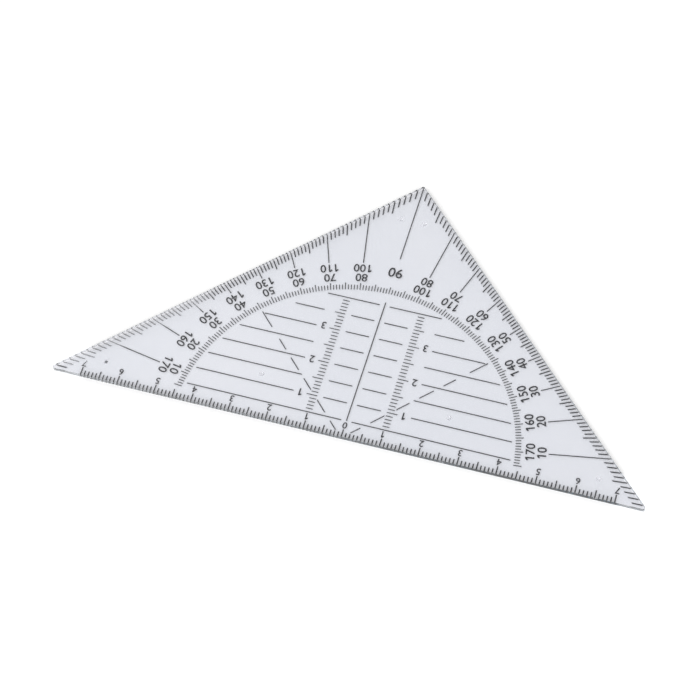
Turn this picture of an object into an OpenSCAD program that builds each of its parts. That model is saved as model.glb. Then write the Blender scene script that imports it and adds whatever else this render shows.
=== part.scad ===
// Geometry triangle: a clear set square with a protractor, printed on its underside.
// The origin is the zero of the scales, in the middle of the ruling edge's face.
// +X runs along the ruling edge, +Y to the right-angled corner, +Z up out of the plate.

/* [Plate] */
// Length of the ruling edge between its sharp corners
edge_len = 156.4; // [130:0.2:200]
// Thickness of the plate
plate_t = 1.3; // [1:0.1:3]
// Radius that rounds the three corners
corner_r = 0.5; // [0.3:0.1:2]

/* [Spacer nubs] */
// Height of a nub below the plate
nub_h = 0.3; // [0.2:0.05:0.8]
// Diameter of a nub where it meets the plate
nub_base_d = 1.3; // [1:0.1:2.5]
// Diameter of the flat foot of a nub
nub_foot_d = 0.9; // [0.5:0.1:2]
// Distance of the corner nubs from the sharp acute corners, along the ruling edge
nub_corner_inset = 13.4; // [12:0.2:20]
// Distance of the corner nubs from the ruling edge
nub_corner_y = 5.6; // [5:0.1:7]
// Distance of the inner nubs from the centre line
nub_inner_x = 24.8; // [18:0.2:30]
// Distance of the upper nubs from the centre line
nub_upper_x = 3.2; // [2:0.1:4]
// Distance of the upper nubs below the sharp right-angled corner
nub_upper_drop = 11.2; // [10:0.2:16]

/* [Ink] */
// Thickness of the printed film
ink_t = 0.03; // [0.02:0.01:0.1]
// Width of the lines, rays and dashes
line_w = 0.25; // [0.1:0.01:0.3]
// Width of the ticks along the three edges
tick_w = 0.3; // [0.1:0.02:0.36]
// Width of the ticks of the arc and the ladders
fine_tick_w = 0.22; // [0.1:0.02:0.3]
// Bare margin between the ends of the edge ticks and the plate's edge
edge_gap = 0.1; // [0.05:0.05:0.5]

/* [Ruling edge scale] */
// Least distance from the last centimetre tick to the sharp acute corner
scale_end_gap = 8; // [6:0.5:15]
// Reach of a millimetre tick from the edge
mm_tick = 1.65; // [1:0.05:3]
// Reach of a five-millimetre tick from the edge
half_tick = 2.45; // [1.5:0.05:4]
// Reach of a centimetre tick from the edge
cm_tick = 2.5; // [2:0.05:4.4]

/* [Leg degree scales] */
// Reach of a one-degree tick, square to the leg
degree_tick = 2; // [1:0.1:3]
// Reach of a five-degree tick, square to the leg
five_degree_tick = 2.9; // [1.5:0.1:4]
// Distance from the middle of a leg to the circle where the ten-degree rays end
ray_band = 3.2; // [2.5:0.1:5]
// Length left off the inner end of the ninety-degree ray, above its numeral
ninety_gap = 2.7; // [0:0.1:6]

/* [Protractor arc] */
// Width of the band of degree numerals between the rays and the arc
numeral_band = 6.3; // [5:0.1:9]
// Length of a one-degree tick on the arc
arc_tick = 1.45; // [0.8:0.05:2]
// Length of a five-degree tick on the arc
arc_five_tick = 2.05; // [1:0.05:3]
// First degree that is marked on the arc
arc_first = 5; // [4:1:10]

/* [Inner lines] */
// Distance between neighbouring parallel lines
line_pitch = 5; // [4:1:10]
// Bare ring between the ends of the parallel lines and the arc
arc_gap = 0.9; // [0.4:0.1:2]
// Half of the bare strip that the parallel lines leave for the centre line
centre_gap = 1.35; // [0.8:0.05:3]
// Length of the centre line past the last parallel line
centre_run = 1; // [0:0.1:1.5]
// Distance of the ladders' near ends from the centre line
ladder_x = 9.2; // [7:0.1:11]
// Length of a millimetre tick on the ladders
ladder_tick = 1.8; // [1:0.1:2.4]
// Length of a five-millimetre tick on the ladders
ladder_half_tick = 2.8; // [1.5:0.1:4]
// Bare gap between the inner dashes and the ladders
dash_gap = 1.6; // [0.5:0.1:3]
// Bare gap between the ladders' five-millimetre ticks and the outer parallel lines
outer_gap = 2.8; // [1:0.1:4]
// Extra gap that the lines at whole centimetres leave for their numeral
label_gap = 0.7; // [0:0.1:2]
// Length left off the outer ends of the last parallel line but one
short_line_cut = 2; // [0:0.1:4]
// Bare length between a 45 degree dash and the parallel line that it points at
diagonal_gap = 1; // [0.5:0.1:1.5]
// The same on both sides of the last parallel line that the 45 degree lines pass
last_diagonal_gap = 1.45; // [0.5:0.05:1.8]
// Bare gap between the end of a 45 degree line and the parallel line that stops there
diagonal_end_gap = 0.2; // [0.1:0.05:0.4]
// Bare height between the millimetre ticks and the start of the 45 degree lines
diagonal_rise = 0.3; // [0.2:0.1:1]
// Bare strip that the 45 degree lines leave on each side of a ladder
ladder_clear = 0.3; // [0.1:0.1:1]

/* [Hidden] */
$fn = 64;

clear_plastic = [0.86, 0.89, 0.94, 0.5];
print_black = [0.12, 0.12, 0.14];

cm = 10;
acute_angle = 45;
half_len = edge_len / 2;
underside_z = -plate_t / 2;
leg_distance = half_len / sqrt(2);

// Distance from a sharp acute corner to the start of its rounding
acute_tangent = corner_r / tan(acute_angle / 2);
// Height of the rounded right-angled corner
apex_y = half_len - corner_r * (sqrt(2) - 1);

// Circles around the zero, from the outside in
ray_r = leg_distance - ray_band;
arc_r = ray_r - numeral_band - arc_five_tick;
line_r = arc_r - arc_gap;

// Counts that fit on the plate
scale_cm = floor((half_len - scale_end_gap) / cm);
line_count = floor(line_r / line_pitch);
diagonal_count = floor(line_r / sqrt(2) / line_pitch);
last_line_y = line_count * line_pitch;

// Inner lines, from the centre out
inner_dash_end = ladder_x - dash_gap;
outer_line_x = ladder_x + ladder_half_tick + outer_gap;
first_rung = floor(line_pitch + line_w) + 1;
last_rung = ceil(last_line_y - line_w) - 1;
short_line = line_count - 1;

// The inner nubs lie midway between the second and third parallel lines
nub_inner_y = 2.5 * line_pitch;
nub_places = [
    for (side = [-1, 1])
        each [
            [side * (half_len - nub_corner_inset), nub_corner_y],
            [side * nub_inner_x, nub_inner_y],
            [side * nub_upper_x, half_len - nub_upper_drop]
        ]
];

// Reach of a tick by its count: longest on tens, middle on fives
function by_count(i, one, five, ten) = i % 10 == 0 ? ten : i % 5 == 0 ? five : one;

// Half the chord at height y of the circle where the parallel lines end
function half_chord(y) = sqrt(line_r * line_r - y * y);

// Outer end of parallel line i: on the circle, or just before the end of the 45 degree line
function line_end(i) =
    let (y = i * line_pitch)
    i == diagonal_count
        ? y - line_w / 2 - line_w / sqrt(2) - diagonal_end_gap
        : half_chord(y) - (i == short_line ? short_line_cut : 0);

// Point at distance d inside the right leg, beside the ray at angle a by k
function leg_point(a, d, k) =
    let (s = (half_len - d * sqrt(2) - k * (cos(a) - sin(a))) / (cos(a) + sin(a)))
    [s * cos(a) - k * sin(a), s * sin(a) + k * cos(a)];

// Point at radius r on the ray at angle a, beside it by k
function ray_point(a, r, k) = [r * cos(a) - k * sin(a), r * sin(a) + k * cos(a)];

// True where a tick at angle a meets the straight stretch of the right leg
function on_straight_leg(a) =
    let (p = leg_point(a, 0, 0), room = tick_w / 2)
    p.y * sqrt(2) > acute_tangent + room && p.x * sqrt(2) > corner_r + room;

// Rounded triangle of the plate, seen from above
module plate_outline() {
    acute_x = half_len - acute_tangent;
    round_y = half_len - corner_r * sqrt(2);
    side = corner_r / sqrt(2);
    polygon([
        [-acute_x, 0], [acute_x, 0],
        [acute_x + side, corner_r + side], [side, round_y + side],
        [-side, round_y + side], [-acute_x - side, corner_r + side]
    ]);
    for (centre = [[-acute_x, corner_r], [acute_x, corner_r], [0, round_y]])
        translate(centre)
            circle(corner_r);
}

// Clear moulding: the plate with its six nubs
module plate() {
    color(clear_plastic) {
        translate([0, 0, underside_z])
            linear_extrude(plate_t)
                plate_outline();
        for (place = nub_places)
            translate([place.x, place.y, underside_z - nub_h])
                cylinder(h = nub_h, d1 = nub_foot_d, d2 = nub_base_d);
    }
}

// Film of ink on the underside of the plate, from a flat drawing
module printed() {
    color(print_black)
        translate([0, 0, underside_z - ink_t])
            linear_extrude(ink_t)
                children();
}

// The same film, for the mirrored half
module printed_left() {
    printed()
        mirror([1, 0])
            children();
}

// Line of width w parallel to the ruling edge at height y, from x0 to x1
module level_line(x0, x1, y, w = line_w) {
    translate([x0, y - w / 2])
        square([x1 - x0, w]);
}

// Line of width w along the ray at angle a, from radius r0 to radius r1
module ray_line(a, r0, r1, w = line_w) {
    rotate(a)
        level_line(r0, r1, 0, w);
}

// Ticks of the ruling edge, at every millimetre
module edge_scale() {
    last = scale_cm * cm;
    printed()
        for (i = [-last : last])
            translate([i - tick_w / 2, edge_gap])
                square([tick_w, by_count(abs(i), mm_tick, half_tick, cm_tick) - edge_gap]);
}

// Degree ticks of the right leg, with both ends cut parallel to the leg
module leg_scale() {
    k = tick_w / 2;
    for (a = [1 : 89])
        if (on_straight_leg(a) && a % 10 != 0) {
            reach = a % 5 == 0 ? five_degree_tick : degree_tick;
            polygon([
                leg_point(a, edge_gap, -k), leg_point(a, edge_gap, k),
                leg_point(a, reach, k), leg_point(a, reach, -k)
            ]);
        }
}

module left_leg_scale() {
    printed_left()
        leg_scale();
}

module right_leg_scale() {
    printed()
        leg_scale();
}

// Ten-degree rays of the right half, from their circle out to the leg
module leg_rays() {
    k = line_w / 2;
    for (a = [10 : 10 : 80])
        if (on_straight_leg(a))
            polygon([
                leg_point(a, edge_gap, -k), leg_point(a, edge_gap, k),
                ray_point(a, ray_r, k), ray_point(a, ray_r, -k)
            ]);
}

module degree_rays() {
    printed_left()
        leg_rays();
    printed() {
        leg_rays();
        ray_line(90, ray_r + ninety_gap, apex_y - edge_gap);
    }
}

// Ring of degree ticks around the zero
module protractor_arc() {
    printed()
        for (a = [arc_first : 180 - arc_first])
            ray_line(a, arc_r, arc_r + (a % 5 == 0 ? arc_five_tick : arc_tick), fine_tick_w);
}

// Millimetre ladder of the right half, between the first and last parallel lines
module height_scale() {
    for (y = [first_rung : last_rung])
        level_line(ladder_x, ladder_x + (y % 5 == 0 ? ladder_half_tick : ladder_tick), y, fine_tick_w);
}

module left_height_scale() {
    printed_left()
        height_scale();
}

module right_height_scale() {
    printed()
        height_scale();
}

// Parallel lines of the right half: the first and last run in to the centre
module parallels() {
    for (i = [1 : line_count]) {
        y = i * line_pitch;
        start_x = outer_line_x + (y % cm == 0 ? label_gap : 0);
        level_line(i == 1 || i == line_count ? centre_gap : start_x, line_end(i), y);
    }
}

module left_parallels() {
    printed_left()
        parallels();
}

module right_parallels() {
    printed()
        parallels();
}

// Short dashes between the centre line and the ladders
module inner_dashes() {
    for (i = [2 : line_count - 1])
        level_line(centre_gap, inner_dash_end, i * line_pitch);
}

module centre_dashes() {
    printed_left()
        inner_dashes();
    printed()
        inner_dashes();
}

module centre_line() {
    printed()
        ray_line(90, line_pitch, last_line_y + centre_run);
}

// Dashes of the right 45 degree line: clear of the ladder, and the last runs past its parallel line's end
module diagonal() {
    strip_w = ladder_tick + 2 * ladder_clear;
    difference() {
        for (i = [1 : diagonal_count]) {
            gap_below = i == diagonal_count ? last_diagonal_gap : diagonal_gap;
            gap_above = i == diagonal_count - 1 ? last_diagonal_gap : diagonal_gap;
            low = max((i - 1) * line_pitch + gap_below, mm_tick + diagonal_rise);
            high = i * line_pitch + (i == diagonal_count ? line_w : -gap_above);
            ray_line(45, low * sqrt(2), high * sqrt(2));
        }
        translate([ladder_x - ladder_clear, 0])
            square([strip_w, last_line_y]);
    }
}

module left_diagonal() {
    printed_left()
        diagonal();
}

module right_diagonal() {
    printed()
        diagonal();
}

plate();
edge_scale();
left_leg_scale();
right_leg_scale();
degree_rays();
protractor_arc();
left_height_scale();
right_height_scale();
left_parallels();
right_parallels();
centre_dashes();
centre_line();
left_diagonal();
right_diagonal();
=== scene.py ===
import math

import bmesh
import bpy
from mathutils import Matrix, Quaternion, Vector


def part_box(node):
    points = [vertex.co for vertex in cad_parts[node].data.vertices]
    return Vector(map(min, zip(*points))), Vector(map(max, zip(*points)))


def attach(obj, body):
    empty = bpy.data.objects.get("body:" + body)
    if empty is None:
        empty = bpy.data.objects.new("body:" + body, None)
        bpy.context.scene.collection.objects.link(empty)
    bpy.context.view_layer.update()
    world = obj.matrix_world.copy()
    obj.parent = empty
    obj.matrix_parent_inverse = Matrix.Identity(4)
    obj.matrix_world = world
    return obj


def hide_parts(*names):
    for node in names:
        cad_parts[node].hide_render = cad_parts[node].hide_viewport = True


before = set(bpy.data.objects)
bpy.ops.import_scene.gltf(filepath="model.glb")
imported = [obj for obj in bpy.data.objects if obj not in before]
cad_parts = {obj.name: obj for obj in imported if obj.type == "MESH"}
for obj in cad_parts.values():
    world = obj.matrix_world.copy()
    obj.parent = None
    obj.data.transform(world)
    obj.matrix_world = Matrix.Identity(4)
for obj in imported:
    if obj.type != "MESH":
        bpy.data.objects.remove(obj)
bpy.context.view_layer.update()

# Geometry triangle: a clear moulded set square with a protractor, printed on its underside.
# Lengths are written in millimetres and multiplied by MM, because the frame is in metres.
MM = 0.001
CM = 10 * MM

# Plate, from the frame: the corner rounding sets how far the tips and the top fall short of sharp corners
plate_low, plate_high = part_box("plate")
film_low, film_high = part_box("edge_scale")
CORNER_R = plate_high.y - plate_high.x
HALF_LEN = plate_high.x + CORNER_R * math.sqrt(2)
TOP = plate_high.z
UNDERSIDE = film_high.z
FILM_T = film_high.z - film_low.z
FOOT = plate_low.z
ACUTE = math.radians(45)
CORNER_PLACES = [
    (HALF_LEN - CORNER_R / math.tan(ACUTE / 2), CORNER_R),
    (0, HALF_LEN - CORNER_R * math.sqrt(2)),
    (CORNER_R / math.tan(ACUTE / 2) - HALF_LEN, CORNER_R),
]
CORNER_STEPS = 40
RIM_R = 0.07 * MM
RIM_STEPS = 3

# The underside is moulded this much lower than the back of the ink, so that the ink is bonded to the plastic
INK_BOND = 0.008 * MM
BED = UNDERSIDE - INK_BOND

# Spacer nubs
NUB_BASE_D = 1.3 * MM
NUB_FOOT_D = 0.9 * MM
NUB_ROOT = 0.1 * MM
NUB_ROUND = 0.08 * MM
NUB_STEPS = 40
NUB_PLACES = [
    (side * x * MM, y * MM)
    for side in (-1, 1)
    for x, y in ((64.8, 5.6), (24.8, 12.5), (3.2, 67.0))
]

# How upright a level face's normal is, and the angles under which faces are shaded smooth or made one
LEVEL = 0.9
SMOOTH_BELOW = math.radians(12)
MERGED_BELOW = SMOOTH_BELOW / 10

# A point still lies on a flat face within this share of the rounding beside the face
STILL_FLAT = 0.1
TOP_FACE = TOP - STILL_FLAT * RIM_R
BED_FACE = BED - STILL_FLAT * RIM_R
FOOT_FACE = FOOT + STILL_FLAT * NUB_ROUND
EDGE_MIDDLE = (TOP + BED) / 2
EDGE_REACH = (TOP - BED) / 2 - STILL_FLAT * RIM_R

# Clear plastic: its roughness as moulded, as scratched in use and on the nubs, and its waves and cast
STYRENE_IOR = 1.59
POLISHED = 0.01
LESS_POLISHED = 0.03
SCRATCHED = 0.45
UNSCRATCHED = 0.02
NUB_MATT = 0.8
WORN_TIP = 70.2 * MM
WEAR_FADE = 1 * MM
# Painted dark reflection on the foot of the nub at the left tip, which lies left of this x
DARK_DOT_TO = -60 * MM
WAVE_LENGTH = 9 * MM
WAVE_HEIGHT = 0.02 * MM
WAVE_STRENGTH = 0.05
CAST_DRIFT = 40 * MM
CAST_DENSITY = 20.0

# Ink: the mottle that the mesh of the screen leaves, and its roughness
INK_IOR = 1.5
INK_SHINIEST = 0.45
INK_DULLEST = 0.65
MOTTLE_SIZE = 0.25 * MM
MOTTLE_HEIGHT = 0.004 * MM
MOTTLE_STRENGTH = 0.2

# Painted light: print made partly see-through, paler as under a veil of light: the share of the light that
# each face of its film lets through, above the lowest tick, in a band along the left leg. It is paled up to
# where x + y reaches the first place, and whole from the second
PAINTED_VEIL = 0.67
LOWEST_TICK_TOP = 1.95 * MM
PAINTED_VEIL_TO = -18 * MM
PRINTED_FROM = -4 * MM
PAINTED_VEIL_BAND = 4 * MM
BAND_END = 7 * MM

# Numerals
EDGE_LAST = 7
EDGE_NUMERAL_H = 1.8 * MM
EDGE_NUMERAL_Y = 3.68 * MM
HEIGHT_NUMERAL_H = 2.05 * MM
HEIGHT_NUMERAL_X = 13.65 * MM
HEIGHT_NUMERAL_Y = {1: 10 * MM, 2: 20 * MM, 3: 30.4 * MM}
DEGREE_NUMERAL_H = 2.34 * MM
OUTER_RING_R = 50.4 * MM
INNER_RING_R = 47.5 * MM
NUMERAL_LEAD = 0.25 * MM
LEAD_TO = 30
NINETY_H = 2.85 * MM
NINETY_R = 50.4 * MM

# The font, in its own units: its ones are plain strokes, and get a flag at the head
CURVE_STEPS = 5
NUMERAL_WEIGHT = 0.008
NEARLY_TOUCHING = 0.005
SAME_POINT = 0.0005
ONE_WIDTH = 0.2
ONE_HEIGHT = 0.6
FLAG_FOOT = 0.55
FLAG_REACH = 0.15
FLAG_DROP = 0.1
CUT_SLACK = 0.002
FLAG_ROOT_MIN = 0.1

# Camera, as the photograph was taken
VIEW_AIM = Vector((-5.07 * MM, 25.31 * MM, UNDERSIDE))
VIEW_DISTANCE = 544.6 * MM
VIEW_AZIMUTH = math.radians(21.434)
VIEW_ELEVATION = math.radians(59.931)
VIEW_ROLL = math.radians(-5.698)
VIEW_LENS = 108.97
SENSOR = 36
CLIP_START = 10 * MM

# Studio, in metres and watts: a softbox, and a room whose level falls from left to right, between two values
# of a direction's X
SOFTBOX_PLACE = (0.3, -1.0, 1.5)
SOFTBOX_SIDE = 2.0
SOFTBOX_POWER = 26.7
ROOM_LEFT = 1.1
ROOM_RIGHT = 0.4
LEFT_TO = -0.4
RIGHT_FROM = 0.0
BACKDROP_TOP = math.sin(math.radians(20))

# The paper shows a little lighter than it is lit, and plain white far out, so that it runs into the backdrop
# without a horizon
PAPER_SIDE = 30
PAPER_GAP = 0.02 * MM
PAPER_LIFT = 0.12
PAPER_NEAR = 0.2
PAPER_FAR = 0.4

# Light that enters an edge is reflected between the faces many times before it leaves
BOUNCES = 100


def deselect():
    """Leaves nothing selected, so that the next operator acts on the new piece alone."""
    bpy.ops.object.select_all(action="DESELECT")


def pick(piece, kind, wanted):
    """Selects, in edit mode, the edges or faces of a piece that wanted(element) approves."""
    bpy.ops.mesh.select_mode(type=kind)
    bpy.ops.mesh.select_all(action="DESELECT")
    mesh = bmesh.from_edit_mesh(piece.data)
    for element in mesh.edges if kind == "EDGE" else mesh.faces:
        if wanted(element):
            element.select_set(True)
    mesh.select_flush_mode()
    bmesh.update_edit_mesh(piece.data)


def join(pieces, name):
    """Makes one object of several."""
    deselect()
    for piece in pieces:
        piece.select_set(True)
    bpy.context.view_layer.objects.active = pieces[0]
    bpy.ops.object.join()
    pieces[0].name = name
    return pieces[0]


def colour(hex_value):
    """A linear colour from an sRGB hex value such as #c8ccd2."""
    levels = [int(hex_value[start:start + 2], 16) / 255 for start in (1, 3, 5)]
    return [
        level / 12.92 if level <= 0.04045 else ((level + 0.055) / 1.055) ** 2.4
        for level in levels
    ] + [1]


def add(tree, kind, settings=None, **inputs):
    """Adds a node with its settings. Its inputs, named, or numbered as in0, in1 and so on, are set to values
    or linked to other nodes' outputs."""
    node = tree.nodes.new(kind)
    for name, value in (settings or {}).items():
        setattr(node, name, value)
    for name, value in inputs.items():
        key = int(name[2:]) if name.startswith("in") else name.replace("_", " ")
        socket = node.inputs[key]
        if isinstance(value, bpy.types.NodeSocket):
            tree.links.new(value, socket)
        else:
            socket.default_value = value
    return node


def new_material(name):
    """An empty node material, its tree and its output node."""
    material = bpy.data.materials.new(name)
    material.use_nodes = True
    material.node_tree.nodes.clear()
    return material, material.node_tree, material.node_tree.nodes.new("ShaderNodeOutputMaterial")


def clear_polystyrene():
    """Clear polystyrene, injection moulded in a polished tool: glassy, with a cool cast that deepens in the
    long way along the edges, and with the slow waves that the melt leaves as it sets."""
    material, tree, output = new_material("moulded_clear_polystyrene")
    place = add(tree, "ShaderNodeTexCoord").outputs["Object"]
    spot = add(tree, "ShaderNodeSeparateXYZ", Vector=place)
    waves = add(tree, "ShaderNodeTexNoise", Vector=place, Scale=1 / WAVE_LENGTH, Detail=1.0)
    relief = add(
        tree, "ShaderNodeBump",
        Strength=WAVE_STRENGTH, Distance=WAVE_HEIGHT, Height=waves.outputs["Fac"],
    )
    drift = add(tree, "ShaderNodeTexNoise", Vector=place, Scale=1 / CAST_DRIFT, Detail=2.0)
    cast = add(tree, "ShaderNodeValToRGB", Fac=drift.outputs["Fac"])
    cast.color_ramp.elements[0].position = 0.3
    cast.color_ramp.elements[0].color = colour("#e8e6e8")
    cast.color_ramp.elements[1].position = 0.7
    cast.color_ramp.elements[1].color = colour("#edeaeb")
    # Polished all over. The fine scratches of use on the top, most of them on the left, hardly blur what is
    # seen through it, but let out the light that runs along inside, so they roughen the top only from within
    polish = add(
        tree, "ShaderNodeMapRange",
        Value=drift.outputs["Fac"], To_Min=POLISHED, To_Max=LESS_POLISHED,
    )
    scratches = add(
        tree, "ShaderNodeMapRange",
        Value=spot.outputs["X"], From_Min=-HALF_LEN / 2, From_Max=HALF_LEN / 2,
        To_Min=SCRATCHED, To_Max=UNSCRATCHED,
    )
    # The right tip is as worn as the left half
    tip_wear = add(
        tree, "ShaderNodeMapRange",
        Value=spot.outputs["X"], From_Min=WORN_TIP, From_Max=WORN_TIP + WEAR_FADE,
        To_Min=scratches.outputs["Result"], To_Max=SCRATCHED,
    )
    on_top = add(
        tree, "ShaderNodeMath", {"operation": "GREATER_THAN"},
        in0=spot.outputs["Z"], in1=TOP_FACE,
    )
    within = add(
        tree, "ShaderNodeMath", {"operation": "MULTIPLY"},
        in0=on_top.outputs[0], in1=add(tree, "ShaderNodeNewGeometry").outputs["Backfacing"],
    )
    finish = add(
        tree, "ShaderNodeMapRange",
        Value=within.outputs[0], To_Min=polish.outputs["Result"], To_Max=tip_wear.outputs["Result"],
    )
    # The nubs' pits in the tool are left matt by the spark that cut them
    on_nub = add(
        tree, "ShaderNodeMath", {"operation": "LESS_THAN"},
        in0=spot.outputs["Z"], in1=BED_FACE,
    )
    grain = add(
        tree, "ShaderNodeMapRange",
        Value=on_nub.outputs[0], To_Min=finish.outputs["Result"], To_Max=NUB_MATT,
    )
    # Painted shade: the edges between the tips are greyed, so that they show darker, and the foot of the nub
    # at the left tip is painted dark, a painted dark reflection that shows through as one dark dot
    on_edge = add(
        tree, "ShaderNodeMath", {"operation": "COMPARE"},
        in0=spot.outputs["Z"], in1=EDGE_MIDDLE, in2=EDGE_REACH,
    )
    between_tips = add(
        tree, "ShaderNodeMath", {"operation": "COMPARE"},
        in0=spot.outputs["X"], in1=0, in2=WORN_TIP,
    )
    edge_shade = add(
        tree, "ShaderNodeMath", {"operation": "MULTIPLY"},
        in0=on_edge.outputs[0], in1=between_tips.outputs[0],
    )
    cast_with_painted_edge_shade = add(
        tree, "ShaderNodeMix", {"data_type": "RGBA", "blend_type": "MULTIPLY"},
        in0=edge_shade.outputs[0], in6=cast.outputs["Color"], in7=colour("#d0d0d2"),
    )
    on_foot = add(
        tree, "ShaderNodeMath", {"operation": "LESS_THAN"},
        in0=spot.outputs["Z"], in1=FOOT_FACE,
    )
    at_left_tip = add(
        tree, "ShaderNodeMath", {"operation": "LESS_THAN"},
        in0=spot.outputs["X"], in1=DARK_DOT_TO,
    )
    painted_dark_dot = add(
        tree, "ShaderNodeMath", {"operation": "MULTIPLY"},
        in0=on_foot.outputs[0], in1=at_left_tip.outputs[0],
    )
    tint = add(
        tree, "ShaderNodeMix", {"data_type": "RGBA"},
        in0=painted_dark_dot.outputs[0], in6=cast_with_painted_edge_shade.outputs[2], in7=colour("#48484c"),
    )
    plastic = add(
        tree, "ShaderNodeBsdfPrincipled",
        Base_Color=tint.outputs[2], Roughness=grain.outputs["Result"], IOR=STYRENE_IOR,
        Transmission_Weight=1.0, Normal=relief.outputs["Normal"],
    )
    # Lamps and the floor's bounced light pass straight through, less what one pass through the plate takes.
    # An edge reflects most of the light that reaches it inside, so between the worn tips it shades the paper
    # at its foot
    let_by = add(
        tree, "ShaderNodeMix", {"data_type": "RGBA"},
        in0=edge_shade.outputs[0], in6=colour("#f6f8fb"), in7=colour("#404040"),
    )
    passed = add(tree, "ShaderNodeBsdfTransparent", Color=let_by.outputs[2])
    rays = add(tree, "ShaderNodeLightPath")
    soft_rays = add(
        tree, "ShaderNodeMath", {"operation": "MAXIMUM"},
        in0=rays.outputs["Is Shadow Ray"], in1=rays.outputs["Is Diffuse Ray"],
    )
    surface = add(
        tree, "ShaderNodeMixShader",
        in0=soft_rays.outputs[0], in1=plastic.outputs[0], in2=passed.outputs[0],
    )
    depth = add(tree, "ShaderNodeVolumeAbsorption", Color=colour("#c4e4f0"), Density=CAST_DENSITY)
    tree.links.new(surface.outputs[0], output.inputs["Surface"])
    tree.links.new(depth.outputs[0], output.inputs["Volume"])
    return material


def screen_ink():
    """Black screen-printing ink for styrene: a thin half-matt film, a little mottled by the mesh, and made
    partly see-through along the lower half of the left leg, a painted veil of light that shows it grey
    there."""
    material, tree, output = new_material("black_screen_ink")
    place = add(tree, "ShaderNodeTexCoord").outputs["Object"]
    mottle = add(tree, "ShaderNodeTexNoise", Vector=place, Scale=1 / MOTTLE_SIZE, Detail=2.0)
    tone = add(tree, "ShaderNodeValToRGB", Fac=mottle.outputs["Fac"])
    tone.color_ramp.elements[0].position = 0.35
    tone.color_ramp.elements[0].color = colour("#222226")
    tone.color_ramp.elements[1].position = 0.7
    tone.color_ramp.elements[1].color = colour("#303034")
    sheen = add(
        tree, "ShaderNodeMapRange",
        Value=mottle.outputs["Fac"], To_Min=INK_SHINIEST, To_Max=INK_DULLEST,
    )
    relief = add(
        tree, "ShaderNodeBump",
        Strength=MOTTLE_STRENGTH, Distance=MOTTLE_HEIGHT, Height=mottle.outputs["Fac"],
    )
    ink = add(
        tree, "ShaderNodeBsdfPrincipled",
        Base_Color=tone.outputs["Color"], Roughness=sheen.outputs["Result"], IOR=INK_IOR,
        Normal=relief.outputs["Normal"],
    )
    spot = add(tree, "ShaderNodeSeparateXYZ", Vector=place)
    # Painted veil of light: the print is let partly through in a band along the lower half of the left leg
    up_leg = add(
        tree, "ShaderNodeMath", {"operation": "ADD"},
        in0=spot.outputs["X"], in1=spot.outputs["Y"],
    )
    to_leg = add(
        tree, "ShaderNodeMath", {"operation": "SUBTRACT"},
        in0=spot.outputs["Y"], in1=spot.outputs["X"],
    )
    lower = add(
        tree, "ShaderNodeMapRange",
        Value=up_leg.outputs[0], From_Min=PAINTED_VEIL_TO, From_Max=PRINTED_FROM, To_Min=PAINTED_VEIL, To_Max=0,
    )
    above = add(
        tree, "ShaderNodeMath", {"operation": "GREATER_THAN"},
        in0=spot.outputs["Y"], in1=LOWEST_TICK_TOP,
    )
    near = add(
        tree, "ShaderNodeMapRange",
        Value=to_leg.outputs[0], From_Min=HALF_LEN - BAND_END, From_Max=HALF_LEN - PAINTED_VEIL_BAND,
        To_Max=above.outputs[0],
    )
    painted_veil = add(
        tree, "ShaderNodeMath", {"operation": "MULTIPLY"},
        in0=lower.outputs["Result"], in1=near.outputs["Result"],
    )
    bare = add(tree, "ShaderNodeBsdfTransparent")
    film = add(
        tree, "ShaderNodeMixShader",
        in0=painted_veil.outputs[0], in1=ink.outputs[0], in2=bare.outputs[0],
    )
    tree.links.new(film.outputs[0], output.inputs["Surface"])
    return material


def white_paper():
    """Smooth white paper under the triangle, which shows white and keeps the triangle's shadow."""
    material, tree, output = new_material("white_paper")
    paper = add(tree, "ShaderNodeBsdfDiffuse", Color=colour("#f3f3f3"))
    rays = add(tree, "ShaderNodeLightPath")
    seen = add(
        tree, "ShaderNodeMath", {"operation": "MAXIMUM"},
        in0=rays.outputs["Is Camera Ray"], in1=rays.outputs["Is Glossy Ray"],
    )
    shown = add(
        tree, "ShaderNodeMath", {"operation": "MAXIMUM"},
        in0=seen.outputs[0], in1=rays.outputs["Is Transmission Ray"],
    )
    lift = add(
        tree, "ShaderNodeMath", {"operation": "MULTIPLY"},
        in0=shown.outputs[0], in1=PAPER_LIFT,
    )
    glow = add(tree, "ShaderNodeEmission", Strength=lift.outputs[0])
    near = add(tree, "ShaderNodeAddShader", in0=paper.outputs[0], in1=glow.outputs[0])
    reach = add(
        tree, "ShaderNodeVectorMath", {"operation": "LENGTH"},
        in0=add(tree, "ShaderNodeTexCoord").outputs["Object"],
    )
    away = add(
        tree, "ShaderNodeMapRange",
        Value=reach.outputs["Value"], From_Min=PAPER_NEAR, From_Max=PAPER_FAR, To_Min=0, To_Max=1,
    )
    white = add(
        tree, "ShaderNodeMath", {"operation": "MULTIPLY"},
        in0=away.outputs["Result"], in1=shown.outputs[0],
    )
    lit = add(
        tree, "ShaderNodeMixShader",
        in0=white.outputs[0], in1=near.outputs[0], in2=add(tree, "ShaderNodeEmission").outputs[0],
    )
    # One-sided, so that the underside can be looked at from below
    facing = add(tree, "ShaderNodeNewGeometry")
    below = add(tree, "ShaderNodeBsdfTransparent")
    surface = add(
        tree, "ShaderNodeMixShader",
        in0=facing.outputs["Backfacing"], in1=lit.outputs[0], in2=below.outputs[0],
    )
    tree.links.new(surface.outputs[0], output.inputs["Surface"])
    return material


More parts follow.
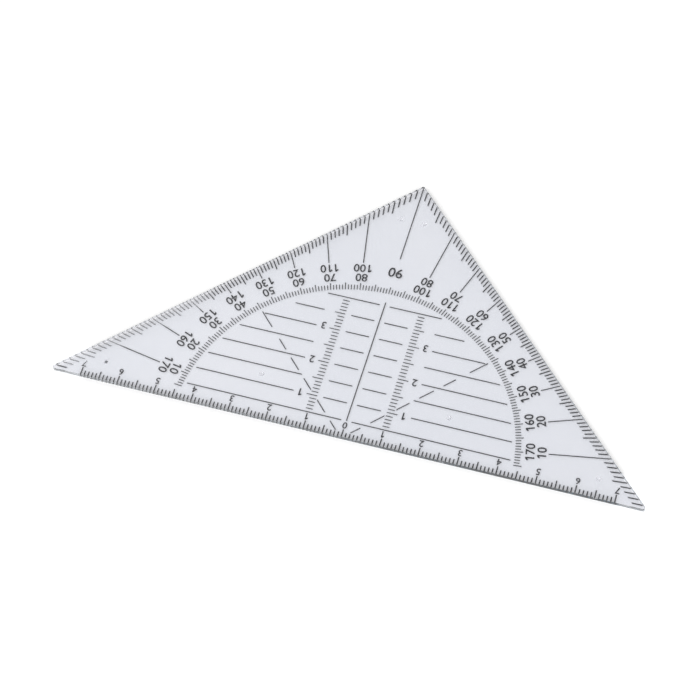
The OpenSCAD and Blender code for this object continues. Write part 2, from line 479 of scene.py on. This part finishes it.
def mould_plate():
    """The plate: drawn tight round three corner posts, with softened rims and six nubs."""
    corners = []
    for x, y in CORNER_PLACES:
        deselect()
        bpy.ops.mesh.primitive_cylinder_add(
            vertices=CORNER_STEPS, radius=CORNER_R, depth=TOP - BED, location=(x, y, EDGE_MIDDLE),
        )
        bpy.ops.object.transform_apply(location=True, rotation=True, scale=True)
        corners.append(bpy.context.object)
    plate = join(corners, "clear_plate")
    bpy.ops.object.mode_set(mode="EDIT")
    bpy.ops.mesh.select_all(action="SELECT")
    bpy.ops.mesh.convex_hull(join_triangles=False)
    bpy.ops.mesh.select_all(action="SELECT")
    bpy.ops.mesh.dissolve_limited(angle_limit=MERGED_BELOW)
    pick(plate, "FACE", lambda face: abs(face.normal.z) > LEVEL)
    bpy.ops.mesh.region_to_loop()
    bpy.ops.mesh.bevel(offset=RIM_R, segments=RIM_STEPS, affect="EDGES")
    bpy.ops.object.mode_set(mode="OBJECT")

    nubs = turn_nubs()
    deselect()
    plate.select_set(True)
    bpy.context.view_layer.objects.active = plate
    bpy.ops.object.modifier_add(type="BOOLEAN")
    weld = plate.modifiers[-1]
    weld.operation = "UNION"
    weld.solver = "EXACT"
    weld.object = nubs
    bpy.ops.object.modifier_apply(modifier=weld.name)
    bpy.data.objects.remove(nubs)
    bpy.ops.object.shade_smooth_by_angle(angle=SMOOTH_BELOW)
    return plate


def turn_nubs():
    """Six conical nubs with rounded feet: one is turned, and the others are its copies."""
    slope = (NUB_BASE_D - NUB_FOOT_D) / 2 / (UNDERSIDE - FOOT)
    height = UNDERSIDE + NUB_ROOT - FOOT
    first_x, first_y = NUB_PLACES[0]
    deselect()
    bpy.ops.mesh.primitive_cone_add(
        vertices=NUB_STEPS, depth=height,
        radius1=NUB_FOOT_D / 2, radius2=NUB_BASE_D / 2 + slope * NUB_ROOT,
        location=(first_x, first_y, FOOT + height / 2),
    )
    nub = bpy.context.object
    bpy.ops.object.transform_apply(location=True, rotation=True, scale=True)
    bpy.ops.object.mode_set(mode="EDIT")
    pick(nub, "EDGE", lambda edge: all(vertex.co.z < FOOT_FACE for vertex in edge.verts))
    bpy.ops.mesh.bevel(offset=NUB_ROUND, segments=RIM_STEPS, affect="EDGES")
    bpy.ops.object.mode_set(mode="OBJECT")
    nubs = [nub]
    for x, y in NUB_PLACES[1:]:
        deselect()
        nub.select_set(True)
        bpy.context.view_layer.objects.active = nub
        bpy.ops.object.duplicate(linked=False)
        copy = bpy.context.object
        copy.location = (x - first_x, y - first_y, 0)
        bpy.ops.object.transform_apply(location=True, rotation=True, scale=True)
        nubs.append(copy)
    return join(nubs, "nubs")


def extent(face, axis):
    """How far a face reaches along one axis."""
    places = [vertex.co[axis] for vertex in face.verts]
    return max(places) - min(places)


def is_stroke(face):
    """True of the whole stroke of a one."""
    return extent(face, 0) < ONE_WIDTH and extent(face, 1) > ONE_HEIGHT


def is_flag_root(edge):
    """True of the left side of a one's head, above the foot of its flag."""
    low = min(vertex.co.y for vertex in edge.verts)
    if not edge.is_boundary or low < FLAG_FOOT - CUT_SLACK:
        return False
    head = edge.link_faces[0]
    if len(head.verts) != 4 or extent(head, 0) >= ONE_WIDTH:
        return False
    on_left = edge.verts[0].co.x < head.calc_center_median().x
    return on_left and edge.calc_length() > FLAG_ROOT_MIN


def flag_ones(number):
    """Gives each one in a numeral, open in edit mode, a flag that slants down from its head."""
    bpy.ops.mesh.dissolve_limited(angle_limit=MERGED_BELOW)
    pick(number, "FACE", is_stroke)
    bpy.ops.mesh.bisect(plane_co=(0, FLAG_FOOT, 0), plane_no=(0, 1, 0))
    pick(number, "EDGE", is_flag_root)
    bpy.ops.mesh.extrude_region_move(TRANSFORM_OT_translate={"value": (-FLAG_REACH, -FLAG_DROP, 0)})


def merge_corners(number):
    """Leaves one of two points that nearly touch, as in a four's counter, which a heavier weight would
    close."""
    for outline in number.data.splines:
        points = list(outline.bezier_points)
        for before, point in zip(points[-1:] + points, points):
            spare = (point.co - before.co).length < NEARLY_TOUCHING
            point.select_control_point = spare
            point.select_left_handle = spare
            point.select_right_handle = spare
    bpy.ops.object.mode_set(mode="EDIT")
    bpy.ops.curve.delete(type="VERT")
    bpy.ops.object.mode_set(mode="OBJECT")


def print_number(text, height, x, y, turn):
    """One numeral as a film of ink, its middle at x, y, turned about the upright."""
    deselect()
    bpy.ops.object.text_add()
    number = bpy.context.object
    number.data.body = text
    number.data.align_x = "CENTER"
    number.data.resolution_u = CURVE_STEPS
    bpy.ops.object.convert(target="CURVE")
    merge_corners(number)
    number.data.offset = NUMERAL_WEIGHT
    bpy.ops.object.convert(target="MESH")
    bpy.ops.object.mode_set(mode="EDIT")
    bpy.ops.mesh.select_all(action="SELECT")
    bpy.ops.mesh.remove_doubles(threshold=SAME_POINT)
    if "1" in text:
        flag_ones(number)
    bpy.ops.object.mode_set(mode="OBJECT")
    bpy.ops.object.origin_set(type="ORIGIN_GEOMETRY", center="BOUNDS")
    size = height / number.dimensions.y
    number.scale = (size, size, 1)
    number.rotation_euler = (0, 0, turn)
    number.location = (x, y, UNDERSIDE - FILM_T)
    bpy.ops.object.transform_apply(location=True, rotation=True, scale=True)
    bpy.ops.object.mode_set(mode="EDIT")
    bpy.ops.mesh.select_all(action="SELECT")
    bpy.ops.mesh.extrude_region_move(TRANSFORM_OT_translate={"value": (0, 0, FILM_T)})
    bpy.ops.mesh.select_all(action="SELECT")
    bpy.ops.mesh.normals_make_consistent(inside=False)
    bpy.ops.object.mode_set(mode="OBJECT")
    return number


def edge_numerals():
    """Centimetres along the ruling edge, counted both ways from zero, with their tops to the edge."""
    return join([
        print_number(str(abs(count)), EDGE_NUMERAL_H, count * CM, EDGE_NUMERAL_Y, math.pi)
        for count in range(-EDGE_LAST, EDGE_LAST + 1)
    ], "edge_numerals")


def height_numerals():
    """Centimetres beside both ladders."""
    return join([
        print_number(str(count), HEIGHT_NUMERAL_H, side * HEIGHT_NUMERAL_X, y, math.pi)
        for side in (-1, 1)
        for count, y in HEIGHT_NUMERAL_Y.items()
    ], "height_numerals")


def ring_numerals(name, radius, label):
    """Tens of degrees round one ring, with their tops to the zero, the first a little past their rays."""
    numbers = []
    for degrees in range(10, 180, 10):
        if degrees != 90:
            lead = NUMERAL_LEAD / radius if degrees <= LEAD_TO else 0
            ray = math.radians(degrees) + lead
            x, y = radius * math.cos(ray), radius * math.sin(ray)
            numbers.append(print_number(str(label(degrees)), DEGREE_NUMERAL_H, x, y, ray + math.pi / 2))
    return join(numbers, name)


def ninety_numeral():
    """The single ninety, where both rings meet."""
    number = print_number("90", NINETY_H, 0, NINETY_R, math.pi)
    number.name = "ninety_numeral"
    return number


def lay_floor():
    """A wide sheet of paper, a hair's breadth under the nubs' feet."""
    deselect()
    bpy.ops.mesh.primitive_plane_add(size=PAPER_SIDE, location=(0, 0, FOOT - PAPER_GAP))
    floor = bpy.context.object
    floor.name = "floor"
    floor.data.materials.append(white_paper())


def light_studio():
    """A softbox overhead and a pale room that is a little brighter to the left."""
    deselect()
    bpy.ops.object.light_add(type="AREA", location=SOFTBOX_PLACE)
    softbox = bpy.context.object
    softbox.name = "softbox"
    softbox.data.shape = "SQUARE"
    softbox.data.size = SOFTBOX_SIDE
    softbox.data.energy = SOFTBOX_POWER
    softbox.rotation_euler = (-softbox.location).to_track_quat("-Z", "Y").to_euler()

    world = bpy.data.worlds.new("studio")
    world.use_nodes = True
    bpy.context.scene.world = world
    tree = world.node_tree
    tree.nodes.clear()
    direction = add(
        tree, "ShaderNodeSeparateXYZ",
        Vector=add(tree, "ShaderNodeTexCoord").outputs["Generated"],
    )
    level = add(
        tree, "ShaderNodeMapRange", {"interpolation_type": "SMOOTHSTEP"},
        Value=direction.outputs["X"], From_Min=LEFT_TO, From_Max=RIGHT_FROM,
        To_Min=ROOM_LEFT, To_Max=ROOM_RIGHT,
    )
    # The camera sees a white backdrop behind the paper, up to about 20 degrees
    backdrop = add(
        tree, "ShaderNodeMath", {"operation": "LESS_THAN"},
        in0=direction.outputs["Z"], in1=BACKDROP_TOP,
    )
    seen = add(
        tree, "ShaderNodeMath", {"operation": "MULTIPLY"},
        in0=backdrop.outputs[0], in1=add(tree, "ShaderNodeLightPath").outputs["Is Camera Ray"],
    )
    shown = add(
        tree, "ShaderNodeMapRange",
        Value=seen.outputs[0], To_Min=level.outputs["Result"], To_Max=1,
    )
    room = add(tree, "ShaderNodeBackground", Color=colour("#ffffff"), Strength=shown.outputs["Result"])
    output = add(tree, "ShaderNodeOutputWorld")
    tree.links.new(room.outputs[0], output.inputs["Surface"])


def set_camera():
    """The camera of the photograph: aimed at the print, at its angle, roll and lens."""
    flat = math.cos(VIEW_ELEVATION)
    back = Vector((
        math.sin(VIEW_AZIMUTH) * flat,
        -math.cos(VIEW_AZIMUTH) * flat,
        math.sin(VIEW_ELEVATION),
    ))
    deselect()
    bpy.ops.object.camera_add(location=VIEW_AIM + back * VIEW_DISTANCE)
    camera = bpy.context.object
    level = (-back).to_track_quat("-Z", "Y")
    camera.rotation_euler = (level @ Quaternion((0, 0, 1), VIEW_ROLL)).to_euler()
    camera.data.sensor_width = SENSOR
    camera.data.lens = VIEW_LENS
    camera.data.clip_start = CLIP_START
    bpy.context.scene.camera = camera


ink = screen_ink()
plate = mould_plate()
plate.data.materials.append(clear_polystyrene())
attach(plate, "root")
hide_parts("plate")

for name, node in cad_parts.items():
    if name != "plate":
        for slot in node.material_slots:
            slot.material = ink

numerals = [
    edge_numerals(),
    height_numerals(),
    ring_numerals("outer_degree_numerals", OUTER_RING_R, lambda degrees: degrees),
    ring_numerals("inner_degree_numerals", INNER_RING_R, lambda degrees: 180 - degrees),
    ninety_numeral(),
]
for piece in numerals:
    piece.data.materials.clear()
    piece.data.materials.append(ink)
    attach(piece, "root")

lay_floor()
light_studio()
set_camera()

scene = bpy.context.scene
scene.cycles.max_bounces = BOUNCES
scene.cycles.glossy_bounces = BOUNCES
scene.cycles.transmission_bounces = BOUNCES
scene.view_settings.view_transform = "Standard"
